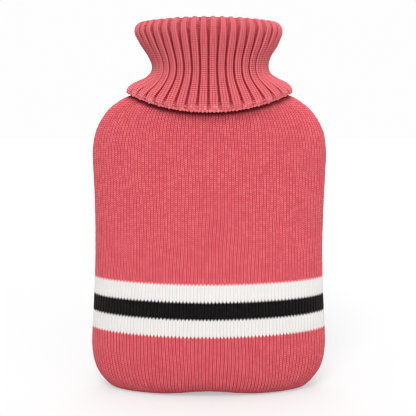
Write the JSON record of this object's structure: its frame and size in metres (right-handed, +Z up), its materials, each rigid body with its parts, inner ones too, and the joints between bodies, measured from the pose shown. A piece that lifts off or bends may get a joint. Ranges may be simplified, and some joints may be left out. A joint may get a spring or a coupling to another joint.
{
  "type": "hot water bottle cover",
  "caption": "Knitted cover for a hot water bottle, hollow and open at the mouth: shaped front and back panels with bands near the base, and a ribbed neck rolled down over the shoulders.",
  "frame": {"origin": "on the floor, under the middle of the base", "axes": "+Z up from the base to the mouth, +X to the right of someone facing the front panel, and the front panel faces -Y"},
  "size_m": [0.2177, 0.0908, 0.3375],
  "materials": {
    "plain_knit": "coral pink plain knit with white, black and white bands knitted in near the base",
    "rib_knit": "coral pink wide rib knit"
  },
  "bodies": {
    "root": {"front_panel": "plain_knit", "back_panel": "plain_knit", "roll_neck": "rib_knit"}
  },
  "joints": []
}
